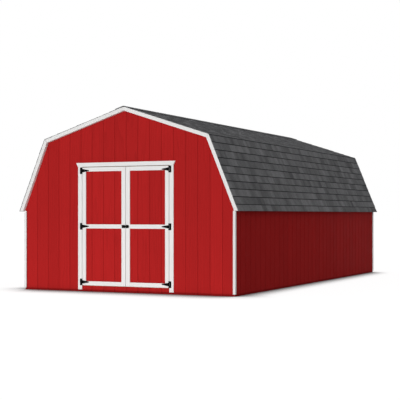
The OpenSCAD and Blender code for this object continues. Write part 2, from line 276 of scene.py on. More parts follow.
def new_material(name):
    """A material with one Principled shader, and its nodes."""
    material = bpy.data.materials.new(name)
    material.use_nodes = True
    return material, material.node_tree


def set_surface(tree, colour, roughness, specular, relief, depth):
    """Gives the shader its colour and sheen, and a relief this many metres deep."""
    bump = add_node(tree, "Bump", {"Height": relief, "Distance": depth}).outputs["Normal"]
    feed(tree, tree.nodes["Principled BSDF"], {
        "Base Color": colour, "Roughness": roughness, "Specular IOR Level": specular, "Normal": bump})


def spruce_material():
    """Pale planed spruce: ringed grain, fine fibres and a few knots."""
    material, tree = new_material("spruce_lumber")
    place = attribute(tree, "grain", "Vector")
    wood = use_group(tree, wood_grain, {"Place": place, "Rings per metre": SPRUCE_RINGS})
    body = mix(tree, attribute(tree, "tone"), SPRUCE_PALE, SPRUCE_DEEP)
    ringed = mix(tree, calc(tree, "MULTIPLY", wood["Rings"], SPRUCE_RING_MIX), body, SPRUCE_RING)
    streak = fade(tree, wood["Fibres"], 0.35, 0.7, 0.0, SPRUCE_FIBRE_MIX)
    fibred = mix(tree, streak, ringed, SPRUCE_FIBRE)
    knot = cells(tree, stretch(tree, place, KNOTS_PER_METRE))["Distance"]
    knotted = mix(tree, fade(tree, knot, KNOT_EDGE, KNOT_HEART), fibred, SPRUCE_KNOT)
    relief = calc(tree, "ADD", wood["Fibres"], wood["Rings"])
    set_surface(tree, knotted, roughness=0.75, specular=0.2, relief=relief, depth=0.0006)
    return material


def finish_boards(node, body, material, ease):
    """Boards that stand for a CAD node: edges eased, grain laid, finish and body set."""
    piece = node_copy(node)
    ease_edges(piece, ease)
    boards = lay_grain(piece)
    piece.data.materials.append(material)
    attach(piece, body)
    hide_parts(node)
    return boards


wood_grain = wood_grain_group()
spruce = spruce_material()
finish_boards("floor_joists", "shed", spruce, LUMBER_EASE)

# Floor: nine sheets of plywood laid edge to edge over the joists and screwed down.
# The face veneer is peeled pine, so its figure is broad and runs the long way of the sheets.
FLOOR_SHEETS = 3
SHEET_GAP = 0.003
SHEET_EASE = 0.0015
VENEER_SPREAD = (1, 0.16, 0.5)
VENEER_RINGS = 140.0
VENEER_PALE = (0.56, 0.38, 0.20, 1)
VENEER_DEEP = (0.46, 0.29, 0.14, 1)
VENEER_RING = (0.34, 0.19, 0.08, 1)
VENEER_RING_MIX = 0.4


def plywood_material():
    """Peeled pine veneer with broad, wandering figure."""
    material, tree = new_material("floor_plywood")
    place = attribute(tree, "grain", "Vector")
    peeled = stretch(tree, place, VENEER_SPREAD)
    wood = use_group(tree, wood_grain, {"Place": peeled, "Rings per metre": VENEER_RINGS})
    patch = fade(tree, noise(tree, place, scale=1.7, detail=3), 0.3, 0.7)
    body = mix(tree, patch, VENEER_PALE, VENEER_DEEP)
    ringed = mix(tree, calc(tree, "MULTIPLY", wood["Rings"], VENEER_RING_MIX), body, VENEER_RING)
    set_surface(tree, ringed, roughness=0.7, specular=0.2, relief=wood["Rings"], depth=0.0004)
    return material


def blank(add, **settings):
    """A primitive mesh from which a piece is made."""
    bpy.ops.object.select_all(action="DESELECT")
    add(**settings)
    return bpy.context.object


def repeat(piece, count, step):
    """Repeats the piece in even steps."""
    finish_modifier(piece, "ARRAY", count=count, use_relative_offset=False,
                    use_constant_offset=True, constant_offset_displace=step)


plywood = plywood_material()
low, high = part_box("floor_deck")
sheet = Vector(((high.x - low.x) / FLOOR_SHEETS, (high.y - low.y) / FLOOR_SHEETS, high.z - low.z))
floor = blank(bpy.ops.mesh.primitive_cube_add, size=1)
floor.name = "floor_sheets"
edit(floor)
bpy.ops.transform.resize(value=(sheet.x - SHEET_GAP, sheet.y - SHEET_GAP, sheet.z))
bpy.ops.transform.translate(value=low + sheet / 2)
leave_edit()
ease_edges(floor, SHEET_EASE)
repeat(floor, FLOOR_SHEETS, (sheet.x, 0, 0))
repeat(floor, FLOOR_SHEETS, (0, sheet.y, 0))
lay_grain(floor)
floor.data.materials.append(plywood)
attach(floor, "shed")
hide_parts("floor_deck")

# Wall frames: plates, studs at two feet and a door header, nailed up from the same spruce.
# They show through the open doors, and stay bare.
wall_boards = {}
for node in ("wall_plates", "left_wall_studs", "right_wall_studs",
             "front_wall_studs", "rear_wall_studs", "door_header"):
    wall_boards[node] = finish_boards(node, "shed", spruce, LUMBER_EASE)

# Siding: grooved sheets with an embossed grain, painted red and nailed to the studs, bare strand board
# behind. The grooves are eight inches apart, from the middle on the gables and from a corner on the sides.
FRONT = Vector((0, -1, 0))
REAR = Vector((0, 1, 0))
RIGHT = Vector((1, 0, 0))
LEFT = Vector((-1, 0, 0))
FACING = 0.9
ON_FACE = 0.00005
GROOVE_PITCH = 0.2032
GROOVE_W = 0.0095
GROOVE_FLOOR = 0.0065
GROOVE_D = 0.003
GABLE_START = 0.018
BRUSH_MARKS = (2.5, 140, 140)
PAINT_FLECKS = (30, 700, 700)
FLECK_HEIGHT = 0.4
FILM_TINT = 0.92
BRUSH_TINT = 0.06
BLOTCH_TINT = 0.10
FILM_HEIGHTS = (0.3, 1.0)
SIDING_RED = (0.425, 0.0165, 0.0165, 1)
# SHADED_RED is painted shade for the grooves, and in part for the siding nail heads.
SHADED_RED = (0.340, 0.0125, 0.0125, 1)
SIDING_ROUGHNESS = (0.52, 0.70)
SIDING_RINGS = 95.0
RING_SHADE = 0.10
RING_RELIEF = 0.7
PLANK_DARKEST = 0.975
PLANK_SPREAD = 0.10
# Painted shade: the lowest few centimetres of the red paint are darkened where the wall meets the floor.
FOOT_SHADE_LOW = 0.024
FOOT_SHADE_HIGH = 0.040
FOOT_SHADE_FACTOR = 0.62
FLAKE_LAYERS = (((0.3, 0.2, 0.5), (16, 46, 46)), ((0.9, 1.1, 2.0), (46, 15, 40)))
FLAKE_PALE = (0.60, 0.42, 0.22, 1)
FLAKE_DEEP = (0.36, 0.21, 0.09, 1)
FLAKE_EDGE = (0.24, 0.13, 0.05, 1)
FLAKE_EDGE_MIX = 0.5


def paint_film_group():
    """Paint over wood: slow blotches in its tint, and the fibres and brush marks that show through."""
    group, given, made = new_group(
        "paint_film", [("Place", "Vector")], [("Tint", "Float"), ("Height", "Float")])
    blotch = noise(group, given["Place"], scale=2.3, detail=3)
    brush = noise(group, stretch(group, given["Place"], BRUSH_MARKS), scale=1, detail=3)
    fleck = noise(group, stretch(group, given["Place"], PAINT_FLECKS), scale=1, detail=2)
    brushed = calc(group, "MULTIPLY_ADD", brush, BRUSH_TINT, FILM_TINT)
    group.links.new(calc(group, "MULTIPLY_ADD", blotch, BLOTCH_TINT, brushed), made["Tint"])
    group.links.new(calc(group, "MULTIPLY_ADD", fleck, FLECK_HEIGHT, brush), made["Height"])
    return group


def scaled(tree, colour, factor):
    """A colour made lighter or darker by a factor."""
    grey = add_node(tree, "CombineColor", {0: factor, 1: factor, 2: factor}).outputs[0]
    return mix(tree, 1.0, colour, grey, "MULTIPLY")


def object_place(tree):
    return add_node(tree, "TexCoord").outputs["Object"]


def red_material():
    """Red exterior paint over an embossed cedar grain: each plank a shade apart, with painted shade in the
    grooves and along the lowest few centimetres of the wall."""
    material, tree = new_material("red_siding_paint")
    spot = split(tree, object_place(tree))
    place = add_node(tree, "CombineXYZ", {0: spot["Z"], 1: spot["X"], 2: spot["Y"]}).outputs[0]
    film = use_group(tree, paint_film, {"Place": place})
    cedar = use_group(tree, wood_grain, {"Place": place, "Rings per metre": SIDING_RINGS})
    plank = calc(tree, "MULTIPLY_ADD", attribute(tree, "tone"), PLANK_SPREAD, PLANK_DARKEST)
    grained = calc(tree, "MULTIPLY_ADD", cedar["Rings"], -RING_SHADE, plank)
    tinted = scaled(tree, SIDING_RED, calc(tree, "MULTIPLY", grained, film["Tint"]))
    # Painted shade: the grooves take the darker red.
    groove_shaded = mix(tree, attribute(tree, "groove"), tinted, SHADED_RED)
    # Painted shade darkens the foot of the wall.
    foot_shade = fade(tree, spot["Z"], FOOT_SHADE_LOW, FOOT_SHADE_HIGH, FOOT_SHADE_FACTOR, 1.0)
    roughness = fade(tree, film["Height"], *FILM_HEIGHTS, *SIDING_ROUGHNESS)
    relief = calc(tree, "MULTIPLY_ADD", cedar["Rings"], -RING_RELIEF, film["Height"])
    set_surface(tree, scaled(tree, groove_shaded, foot_shade), roughness, specular=0.008, relief=relief, depth=0.0012)
    return material


def strand_material():
    """Oriented strand board: pressed flakes of wood, light and dark, lying every way."""
    material, tree = new_material("strand_board")
    spot = object_place(tree)
    tones = []
    edges = []
    for turn, size in FLAKE_LAYERS:
        turned = add_node(tree, "Mapping", {"Vector": spot, "Rotation": turn, "Scale": size}).outputs[0]
        flake = cells(tree, turned)
        tones.append(add_node(tree, "SeparateColor", {0: flake["Color"]}).outputs[0])
        edges.append(flake["Distance"])
    over = fade(tree, noise(tree, spot, scale=31, detail=1), 0.46, 0.54)
    tone = add_node(tree, "Mix", {0: over, 2: tones[0], 3: tones[1]}).outputs[0]
    edge = add_node(tree, "Mix", {0: over, 2: edges[0], 3: edges[1]}).outputs[0]
    flakes = mix(tree, tone, FLAKE_PALE, FLAKE_DEEP)
    edged = mix(tree, fade(tree, edge, 0.35, 0.8, 0.0, FLAKE_EDGE_MIX), flakes, FLAKE_EDGE)
    relief = calc(tree, "SUBTRACT", tone, edge)
    set_surface(tree, edged, roughness=0.8, specular=0.15, relief=relief, depth=0.0008)
    return material


def groove_centres(start, low, high):
    """The groove positions on the pitch through start that lie clear of both edges."""
    first = math.ceil((low + GROOVE_W - start) / GROOVE_PITCH)
    last = math.floor((high - GROOVE_W - start) / GROOVE_PITCH)
    return [start + i * GROOVE_PITCH for i in range(first, last + 1)]


def outer_face(outward, low, high):
    """An upright face of a box: the axis it looks along, the level axis it runs along, and its place."""
    out = 0 if outward.x else 1
    return out, 1 - out, high[out] if outward[out] > 0 else low[out]


def select_verts(piece, wanted):
    """Selects, in edit mode, the corners that a test picks."""
    bpy.ops.mesh.select_all(action="DESELECT")
    bpy.ops.mesh.select_mode(type="VERT")
    cage = bmesh.from_edit_mesh(piece.data)
    for vert in cage.verts:
        vert.select = bool(wanted(vert))
    cage.select_flush_mode()
    bmesh.update_edit_mesh(piece.data)


def cut_across(place, normal):
    """Cuts the whole mesh open in edit mode by a plane."""
    bpy.ops.mesh.select_all(action="SELECT")
    bpy.ops.mesh.bisect(plane_co=place, plane_no=normal)


def grooved_sheet(node, body, outward, start):
    """A sheet that stands for a CAD node, grooved on its outer face and left bare behind."""
    low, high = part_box(node)
    out, run, face = outer_face(outward, low, high)
    centres = np.array(groove_centres(start, low[run], high[run]))
    normal = Vector((0, 0, 0))
    normal[run] = 1

    def on_groove_floor(vert):
        in_groove = np.abs(centres - vert.co[run]).min() < GROOVE_FLOOR / 2 + ON_FACE
        return in_groove and abs(vert.co[out] - face) < ON_FACE

    piece = node_copy(node)
    edit(piece)
    for centre in centres:
        for offset in (-GROOVE_W / 2, -GROOVE_FLOOR / 2, GROOVE_FLOOR / 2, GROOVE_W / 2):
            cut_across(normal * (centre + offset), normal)
    select_verts(piece, on_groove_floor)
    bpy.ops.transform.translate(value=-outward * GROOVE_D)
    leave_edit()
    plank_tones = [draw.random() for _ in range(len(centres) + 1)]
    tone = []
    groove = []
    for polygon in piece.data.polygons:
        spot = polygon.center
        tone.append(plank_tones[int(np.searchsorted(centres, spot[run]))])
        near = np.abs(centres - spot[run]).min() < GROOVE_W / 2
        groove.append(float(near and abs(spot[out] - face) < GROOVE_D + ON_FACE))
        polygon.material_index = int(polygon.normal.dot(outward) < -FACING)
    store(piece.data, "tone", "FLOAT", "FACE", tone)
    store(piece.data, "groove", "FLOAT", "FACE", groove)
    piece.data.materials.append(red)
    piece.data.materials.append(strand_board)
    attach(piece, body)
    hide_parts(node)


paint_film = paint_film_group()
red = red_material()
strand_board = strand_material()
side_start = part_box("right_siding")[0].y
grooved_sheet("left_siding", "shed", LEFT, side_start)
grooved_sheet("right_siding", "shed", RIGHT, side_start)
grooved_sheet("rear_siding", "shed", REAR, GABLE_START)
for node in ("front_left_siding", "front_right_siding", "front_gable_siding", "front_sill_siding"):
    grooved_sheet(node, "shed", FRONT, GABLE_START)

# Siding nails: box nails through the sheets into every stud, with heads that stand a little proud.
# They are driven by hand beside the grooves, each a touch off its line, and painted with the siding.
HEAD_SIDES = 12
CROWN_PART = 3
NAIL_R = 0.0042
NAIL_PROUD = 0.0011
NAIL_PITCH = 0.30
NAIL_END = 0.08
NAIL_EDGE = 0.036
NAIL_WANDER = 0.003
NAIL_SHADE = 0.6
GROOVE_CLEAR = 0.014
hand = random.Random(7)


def select_faces(piece, wanted):
    """Selects, in edit mode, the faces that a test picks."""
    bpy.ops.mesh.select_all(action="DESELECT")
    bpy.ops.mesh.select_mode(type="FACE")
    cage = bmesh.from_edit_mesh(piece.data)
    for face in cage.faces:
        face.select = wanted(face)
    bmesh.update_edit_mesh(piece.data)


def looks_up(face):
    return face.normal.z > FACING


def round_head(radius, proud):
    """A plain round head in edit mode, its lower half sunk in what it holds, its top selected."""
    head = blank(bpy.ops.mesh.primitive_cylinder_add, vertices=HEAD_SIDES, radius=radius, depth=2 * proud)
    edit(head)
    select_faces(head, looks_up)
    return head


def nail_head(radius, proud, material):
    """One nail head, its crown towards +Z."""
    nail = round_head(radius, proud)
    bpy.ops.mesh.inset(thickness=radius / CROWN_PART)
    bpy.ops.transform.translate(value=(0, 0, proud / CROWN_PART))
    leave_edit()
    nail.data.materials.append(material)
    return nail


def join(pieces, name):
    """Joins pieces into the first, under a new name."""
    only(pieces[0])
    for piece in pieces[1:]:
        piece.select_set(True)
    bpy.ops.object.join()
    pieces[0].name = name
    return pieces[0]


def set_heads(model, spots, name, body):
    """Copies of one head at these spots, each with the direction it faces, joined as one piece."""
    heads = []
    for spot, outward in spots:
        head = add_object(name, model.data.copy())
        spin = Matrix.Rotation(hand.uniform(0, math.tau), 4, "Z")
        turn = outward.to_track_quat("Z", "Y").to_matrix().to_4x4()
        head.data.transform(Matrix.Translation(spot) @ turn @ spin)
        heads.append(head)
    bpy.data.objects.remove(model)
    piece = join(heads, name)
    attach(piece, body)


def spaced(low, high, pitch):
    """Even places from low to high, no further apart than the pitch."""
    return np.linspace(low, high, math.ceil((high - low) / pitch) + 1)


def beside_groove(spot, start):
    """The spot, or the nearest one to it that is clear of the grooves."""
    groove = start + round((spot - start) / GROOVE_PITCH) * GROOVE_PITCH
    if abs(spot - groove) >= GROOVE_CLEAR:
        return spot
    return groove + math.copysign(GROOVE_CLEAR, spot - groove)


def under_casing(spot):
    """Whether the door's casings hide this place on the front."""
    return spot.y < 0 and abs(spot.x) < casing_high.x + NAIL_R and spot.z < casing_high.z + NAIL_R


def siding_spots(studs, sheets, outward, start):
    """The places of the nails that hold a wall's sheets, left to right, to its row of studs."""
    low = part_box(sheets[0])[0]
    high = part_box(sheets[-1])[1]
    out, run, face = outer_face(outward, low, high)
    spots = []
    for middle, _, size in wall_boards[studs]:
        line = beside_groove(middle[run], start)
        line = min(max(line, low[run] + NAIL_EDGE), high[run] - NAIL_EDGE)
        for height in spaced(rim_middle, middle[2] + size[0] / 2 - NAIL_END, NAIL_PITCH):
            spot = Vector((0, 0, 0))
            spot[out] = face
            spot[run] = line + hand.uniform(-NAIL_WANDER, NAIL_WANDER)
            spot.z = height + hand.uniform(-NAIL_WANDER, NAIL_WANDER)
            if not under_casing(spot):
                spots.append((spot, outward))
    return spots


rim_low, rim_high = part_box("floor_joists")
rim_middle = (rim_low.z + rim_high.z) / 2
casing_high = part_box("door_head_casing")[1]
nail_spots = []
for studs, sheets, outward, start in (
        ("left_wall_studs", ["left_siding"], LEFT, side_start),
        ("right_wall_studs", ["right_siding"], RIGHT, side_start),
        ("rear_wall_studs", ["rear_siding"], REAR, GABLE_START),
        ("front_wall_studs", ["front_left_siding", "front_right_siding"], FRONT, GABLE_START)):
    nail_spots += siding_spots(studs, sheets, outward, start)
siding_nail = nail_head(NAIL_R, NAIL_PROUD, red)
# Each siding nail head takes part of the grooves' painted shade, which darkens it a little.
store(siding_nail.data, "groove", "FLOAT", "FACE", [NAIL_SHADE] * len(siding_nail.data.polygons))
set_heads(siding_nail, nail_spots, "siding_nails", "shed")

# Roof frame: spruce rafters in two pitches, joined by strand board gussets, with blocks at the eaves.
# The roof sheets are strand board too, nailed to the rafters; they show from inside.
for node in ("lower_rafters", "upper_rafters", "eave_blocks"):
    finish_boards(node, "shed", spruce, LUMBER_EASE)
for node in ("truss_gussets", "roof_deck"):
    finish_boards(node, "shed", strand_board, SHEET_EASE)

# Shingles: nailed courses of laminated asphalt strips, each lapping the one below, with raised tabs of
# chance widths. Charcoal mineral granules cover them; every tab is a blend of its own, and a band of
# painted shade lies under each lap.
EXPOSURE = 0.1255
FIRST_EXPOSURE = 0.112
BED = 0.0003
BUTT_T = 0.0058
TAIL_T = 0.0022
TAB_T = 0.0022
TAB_WIDTHS = (0.10, 0.30)
COURSE_PATTERNS = 12
SHADOW_BAND = 0.018
SHADOW_MIX = 0.95
BLEND_SPREAD = 40.0
BLEND_DARK = (0.122, 0.123, 0.127, 1)
BLEND_PALE = (0.278, 0.279, 0.287, 1)
LAP_SHADE = (0.030, 0.030, 0.032, 1)
TAB_SHARE = 0.5
DRIFT_SHARE = 0.5
GRANULES_PER_METRE = 520.0
GRANULE_TINT = 0.5
CLOUD_TINT = 0.3
SPECK_TINT = 0.60
INSIDE_HEIGHT = 1.0
CORNER_DIGITS = 5


def shingle_material():
    """Charcoal granules in blends from slate to pale grey, with painted shade in the band under the next
    lap.
    """
    material, tree = new_material("charcoal_shingles")
    spot = object_place(tree)
    along = split(tree, spot)["Y"]
    drift_place = add_node(tree, "CombineXYZ", {0: along, 1: attribute(tree, "course")}).outputs[0]
    drift = fade(tree, noise(tree, drift_place, scale=5, detail=1), 0.30, 0.70, 0.0, DRIFT_SHARE)
    tone = calc(tree, "MULTIPLY_ADD", attribute(tree, "tone"), TAB_SHARE, drift)
    blend = mix(tree, tone, BLEND_DARK, BLEND_PALE)
    granule = cells(tree, spot, GRANULES_PER_METRE)
    grain = add_node(tree, "SeparateColor", {0: granule["Color"]}).outputs[0]
    cloud = noise(tree, spot, scale=14, detail=3)
    clouded = calc(tree, "MULTIPLY_ADD", cloud, CLOUD_TINT, SPECK_TINT)
    speckled = scaled(tree, blend, calc(tree, "MULTIPLY_ADD", grain, GRANULE_TINT, clouded))
    band_low = EXPOSURE - SHADOW_BAND
    band_high = EXPOSURE - SHADOW_BAND / 2
    band = fade(tree, attribute(tree, "rise"), band_low, band_high, 0.0, SHADOW_MIX)
    banded = mix(tree, band, speckled, LAP_SHADE)
    relief = calc(tree, "SUBTRACT", cloud, granule["Distance"])
    set_surface(tree, banded, roughness=0.92, specular=0.02, relief=relief, depth=0.0012)
    return material


def shingle_course(length):
    """One course lying flat: X along the eave, Y up the slope from the butt, Z off the roof."""
    cuts = []

    def tab_at(spot):
        return int(np.searchsorted(cuts, spot))

    def on_raised_tab(face):
        return looks_up(face) and tab_at(face.calc_center_median().x) % 2 == 0

    def on_upper_edge(vert):
        return vert.co.y > EXPOSURE / 2 and vert.co.z > BUTT_T - ON_FACE

    course = blank(bpy.ops.mesh.primitive_cube_add, size=1)
    edit(course)
    bpy.ops.transform.resize(value=(length, EXPOSURE, BUTT_T - BED))
    bpy.ops.transform.translate(value=(0, EXPOSURE / 2, (BUTT_T + BED) / 2))
    spot = -length / 2 + draw.uniform(*TAB_WIDTHS)
    while spot < length / 2 - TAB_WIDTHS[0] / 2:
        cuts.append(spot)
        cut_across((spot, 0, 0), RIGHT)
        spot += draw.uniform(*TAB_WIDTHS)
    tones = [draw.random() for _ in range(len(cuts) + 1)]
    select_faces(course, on_raised_tab)
    bpy.ops.mesh.extrude_region_move(TRANSFORM_OT_translate={"value": (0, 0, TAB_T)})
    select_verts(course, on_upper_edge)
    bpy.ops.transform.translate(value=(0, 0, TAIL_T - BUTT_T))
    leave_edit()
    store(course.data, "tone", "FLOAT", "FACE", [tones[tab_at(p.center.x)] for p in course.data.polygons])
    store(course.data, "rise", "FLOAT", "POINT", [v.co.y for v in course.data.vertices])
    course.data.materials.append(shingle)
    return course


def slope_line(node):
    """The foot and the top of a roof layer's underside, as points in X and Z."""
    def from_inside(corner):
        return math.hypot(corner[1], corner[0] - INSIDE_HEIGHT)

    corners = sorted({(round(v.co.z, CORNER_DIGITS), round(v.co.x, CORNER_DIGITS))
                      for v in frame["nodes"][node].data.vertices})
    ends = [min(pair, key=from_inside) for pair in (corners[:2], corners[-2:])]
    return [Vector((x, 0, z)) for z, x in ends]


def lay_courses(node, first_exposure, first_pattern):
    """Shingle courses from the foot of a slope to its top, standing for a CAD node."""
    foot, top = slope_line(node)
    up = (top - foot).normalized()
    along = Vector((0, 1 if foot.x > 0 else -1, 0))
    off = along.cross(up)
    turn = Matrix((along, up, off)).transposed().to_4x4()
    length = (top - foot).length
    laid = []
    start = 0.0
    end = first_exposure
    while start < length - SHADOW_BAND:
        end = min(end, length)
        pattern = patterns[(first_pattern + len(laid)) % COURSE_PATTERNS]
        course = add_object("course", pattern.data.copy())
        shorten = Matrix.Scale((end - start) / EXPOSURE, 4, (0, 1, 0))
        course.data.transform(Matrix.Translation(foot + up * start) @ turn @ shorten)
        blend = draw.uniform(0, BLEND_SPREAD)
        store(course.data, "course", "FLOAT", "FACE", [blend] * len(course.data.polygons))
        laid.append(course)
        start = end
        end = start + EXPOSURE
    piece = join(laid, f"{node}_laid")
    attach(piece, "shed")
    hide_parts(node)


shingle = shingle_material()
low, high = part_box("right_lower_shingles")
patterns = [shingle_course(high.y - low.y) for _ in range(COURSE_PATTERNS)]
lay_courses("left_lower_shingles", FIRST_EXPOSURE, first_pattern=5)
lay_courses("left_upper_shingles", EXPOSURE, first_pattern=8)
lay_courses("right_upper_shingles", EXPOSURE, first_pattern=2)
lay_courses("right_lower_shingles", FIRST_EXPOSURE, first_pattern=0)
for pattern in patterns:
    bpy.data.objects.remove(pattern)

# Ridge cap: single shingles folded over the ridge and nailed, from front to back, each over the one before.
# They are cut from the same charcoal shingles, so each cap has its own blend.
CAP_PITCH = 0.1255
CAP_LENGTH = 0.168
CAP_T = 0.0032
CAP_LIFT = 0.0028
CAP_ROUND = 0.02
CAP_CROWN = CAP_ROUND / 3

low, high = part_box("ridge_cap")
half_width = high.x
ridge_heights = sorted({round(v.co.z, CORNER_DIGITS) for v in frame["nodes"]["ridge_cap"].data.vertices})
cap_under = ridge_heights[-2]
cap_fall = cap_under - ridge_heights[0]
cap = blank(bpy.ops.mesh.primitive_plane_add, size=1)
cap.name = "ridge_cap_shingles"
edit(cap)
bpy.ops.transform.resize(value=(2 * half_width, CAP_LENGTH, 1))
for spot in (-CAP_ROUND, 0.0, CAP_ROUND):
    cut_across((spot, 0, 0), RIGHT)
cage = bmesh.from_edit_mesh(cap.data)
for vert in cage.verts:
    reach = abs(vert.co.x)
    droop = CAP_CROWN if reach < ON_FACE else reach
    lift = CAP_LIFT if vert.co.y < 0 else 0.0
    vert.co.z = cap_under + lift - cap_fall * droop / half_width
bmesh.update_edit_mesh(cap.data)
bpy.ops.mesh.select_all(action="SELECT")
bpy.ops.transform.translate(value=(0, low.y + CAP_LENGTH / 2, 0))
leave_edit()
finish_modifier(cap, "SOLIDIFY", thickness=CAP_T, offset=1.0)
cap_count = int((high.y - low.y - CAP_LENGTH) / CAP_PITCH) + 1
cap_step = (high.y - low.y - CAP_LENGTH) / (cap_count - 1)
repeat(cap, cap_count, (0, cap_step, 0))
cap_tones = [draw.random() for _ in range(cap_count + 1)]
tone = [cap_tones[int((p.center.y - low.y) / cap_step)] for p in cap.data.polygons]
store(cap.data, "tone", "FLOAT", "FACE", tone)
store(cap.data, "course", "FLOAT", "FACE", [BLEND_SPREAD * t for t in tone])
store(cap.data, "rise", "FLOAT", "POINT", [0.0] * len(cap.data.vertices))
cap.data.materials.append(shingle)
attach(cap, "shed")
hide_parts("ridge_cap")

# Trim: primed and white-painted boards on the corners and along the rakes, nailed over the siding.
# The rake boards stand on a backing strip of the same paint, which carries them out past the gable.
TRIM_EASE = 0.002
TRIM_WHITE = (0.82, 0.815, 0.805, 1)
TRIM_ROUGHNESS = (0.42, 0.60)
BOARD_DARKEST = 0.985
BOARD_SPREAD = 0.03


def white_material():
    """White trim paint over planed wood: soft blotches, brush marks along the board."""
    material, tree = new_material("white_trim_paint")
    film = use_group(tree, paint_film, {"Place": attribute(tree, "grain", "Vector")})
    board = calc(tree, "MULTIPLY_ADD", attribute(tree, "tone"), BOARD_SPREAD, BOARD_DARKEST)
    tinted = scaled(tree, TRIM_WHITE, calc(tree, "MULTIPLY", film["Tint"], board))
    roughness = fade(tree, film["Height"], *FILM_HEIGHTS, *TRIM_ROUGHNESS)
    set_surface(tree, tinted, roughness, specular=0.25, relief=film["Height"], depth=0.0004)
    return material


white = white_material()
trim_boards = []
finish_boards("rake_backers", "shed", white, TRIM_EASE)
for node in ("rake_boards", "corner_boards"):
    trim_boards += finish_boards(node, "shed", white, TRIM_EASE)

# Door surround: white side casings and a flared head casing, nailed round the opening.
# Bare stops on the studs behind them meet the closed leaves.
for node in ("door_side_casings", "door_head_casing"):
    trim_boards += finish_boards(node, "shed", white, TRIM_EASE)
finish_boards("door_stops", "shed", spruce, LUMBER_EASE)

# Trim nails: small casing nails that hold the corner, rake and door boards, painted over with them.
# They stand in two lines along each board, every other one near the other edge.
TRIM_NAIL_R = 0.0026
TRIM_NAIL_PROUD = 0.0006
TRIM_NAIL_PITCH = 0.28
TRIM_NAIL_END = 0.05
TRIM_NAIL_LINE = 0.22


def trim_spots(boards):
    """The places of the nails on the outer faces of trim boards."""
    spots = []
    for middle, axes, size in boards:
        thin, wide = (1, 2) if size[1] < size[2] else (2, 1)
        across = axes[wide] * size[wide] * TRIM_NAIL_LINE
        outward = Vector(axes[thin] * math.copysign(1, middle @ axes[thin]))
        reach = size[0] / 2 - TRIM_NAIL_END
        for i, place in enumerate(spaced(-reach, reach, TRIM_NAIL_PITCH)):
            offset = axes[0] * place + across * (1 if i % 2 else -1)
            spots.append((Vector(middle + offset) + outward * size[thin] / 2, outward))
    return spots


def set_trim_nails(boards, name, body):
    nail = nail_head(TRIM_NAIL_R, TRIM_NAIL_PROUD, white)
    set_heads(nail, trim_spots(boards), name, body)


set_trim_nails(trim_boards, "trim_nails", "shed")

# Door leaves: a panel of the same red siding on each, framed by white stiles and rails.
# A bare lumber frame behind is screwed through the panel and keeps the leaf flat.
for side in ("left", "right"):
    leaf = f"{side}_door"
    grooved_sheet(f"{leaf}_panel", leaf, FRONT, GABLE_START)
    leaf_boards = []
    for part in ("stiles", "rails"):
        leaf_boards += finish_boards(f"{leaf}_{part}", leaf, white, TRIM_EASE)
    set_trim_nails(leaf_boards, f"{leaf}_nails", leaf)
    finish_boards(f"{leaf}_back_frame", leaf, spruce, LUMBER_EASE)

# Hinges and latch: pressed steel in black powder coat, screwed to the casings and the leaves.
# Each T-hinge turns on a steel pin; a barrel bolt slides from the right leaf into the left one's keeper.
HARDWARE_EASE = 0.0008
COAT_DEEP = (0.002, 0.002, 0.0022, 1)
COAT_WORN = (0.005, 0.005, 0.0055, 1)
COAT_ROUGHNESS = (0.38, 0.55)
HEIGHT_DIGITS = 4


def black_material():
    """Black powder coat: a fine pebbled skin with a low sheen."""
    material, tree = new_material("black_powder_coat")
    spot = object_place(tree)
    pebble = noise(tree, spot, scale=900, detail=2)
    worn = fade(tree, noise(tree, spot, scale=35, detail=3), 0.35, 0.7)
    coat = mix(tree, worn, COAT_DEEP, COAT_WORN)
    roughness = fade(tree, pebble, 0.3, 0.7, *COAT_ROUGHNESS)
    set_surface(tree, coat, roughness, specular=0.03, relief=pebble, depth=0.0002)
    return material


def finish_steel(node, body):
    """Steel that stands for a CAD node, smooth round its curves."""
    boards = finish_boards(node, body, black, HARDWARE_EASE)
    bpy.ops.object.shade_smooth_by_angle(angle=SHARP_ANGLE)
    return boards


black = black_material()
plates = finish_steel("hinge_plates", "shed")
finish_steel("left_hinge_straps", "left_door")
finish_steel("right_hinge_straps", "right_door")
finish_steel("latch_keeper", "left_door")
finish_steel("latch_body", "right_door")
finish_steel("latch_bolt", "bolt")
hinge_heights = sorted({round(float(middle[2]), HEIGHT_DIGITS) for middle, _, _ in plates})

# Hardware screws: black pan heads with a cross recess, three in each hinge plate and each strap.
# The latch and its keeper have one near each corner of their plates.
SCREW_R = 0.0042
SCREW_PROUD = 0.0014
SCREW_CROWN = 0.0006
RECESS_R = 0.0024
RECESS_D = 0.0012
RECESS_ARM_TURN = 90
RECESS_WAIST_TURN = 60
RECESS_WAIST = 0.42
PLATE_T = 0.003
PLATE_SCREWS = (-0.036, 0.0, 0.036)
PLATE_SCREW_X = 0.0235
STRAP_SCREWS = (0.028, 0.054, 0.096)
CORNER_INSET = 0.006


def pan_screw():
    """One screw head, its crown towards +Z: a raised pan with a cross cut into it."""
    def at_waist(vert):
        turn = round(math.degrees(math.atan2(vert.co.y, vert.co.x))) % RECESS_ARM_TURN
        return turn == RECESS_WAIST_TURN and vert.co.xy.length < RECESS_R + ON_FACE

    step = (SCREW_R - RECESS_R) / 2
    screw = round_head(SCREW_R, SCREW_PROUD)
    bpy.ops.mesh.inset(thickness=step)
    bpy.ops.transform.translate(value=(0, 0, SCREW_CROWN))
    bpy.ops.mesh.inset(thickness=step)
    bpy.ops.mesh.extrude_region_move(TRANSFORM_OT_translate={"value": (0, 0, -RECESS_D)})
    select_verts(screw, at_waist)
    bpy.ops.transform.resize(value=(RECESS_WAIST, RECESS_WAIST, 1), center_override=(0, 0, 0))
    leave_edit()
    screw.data.materials.append(black)
    return screw


def corner_spots(node):
    """The places of the screws at the corners of a latch plate."""
    low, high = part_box(node)
    return [(Vector((x, high.y - PLATE_T, z)), FRONT)
            for x in (low.x + CORNER_INSET, high.x - CORNER_INSET)
            for z in (low.z + CORNER_INSET, high.z - CORNER_INSET)]


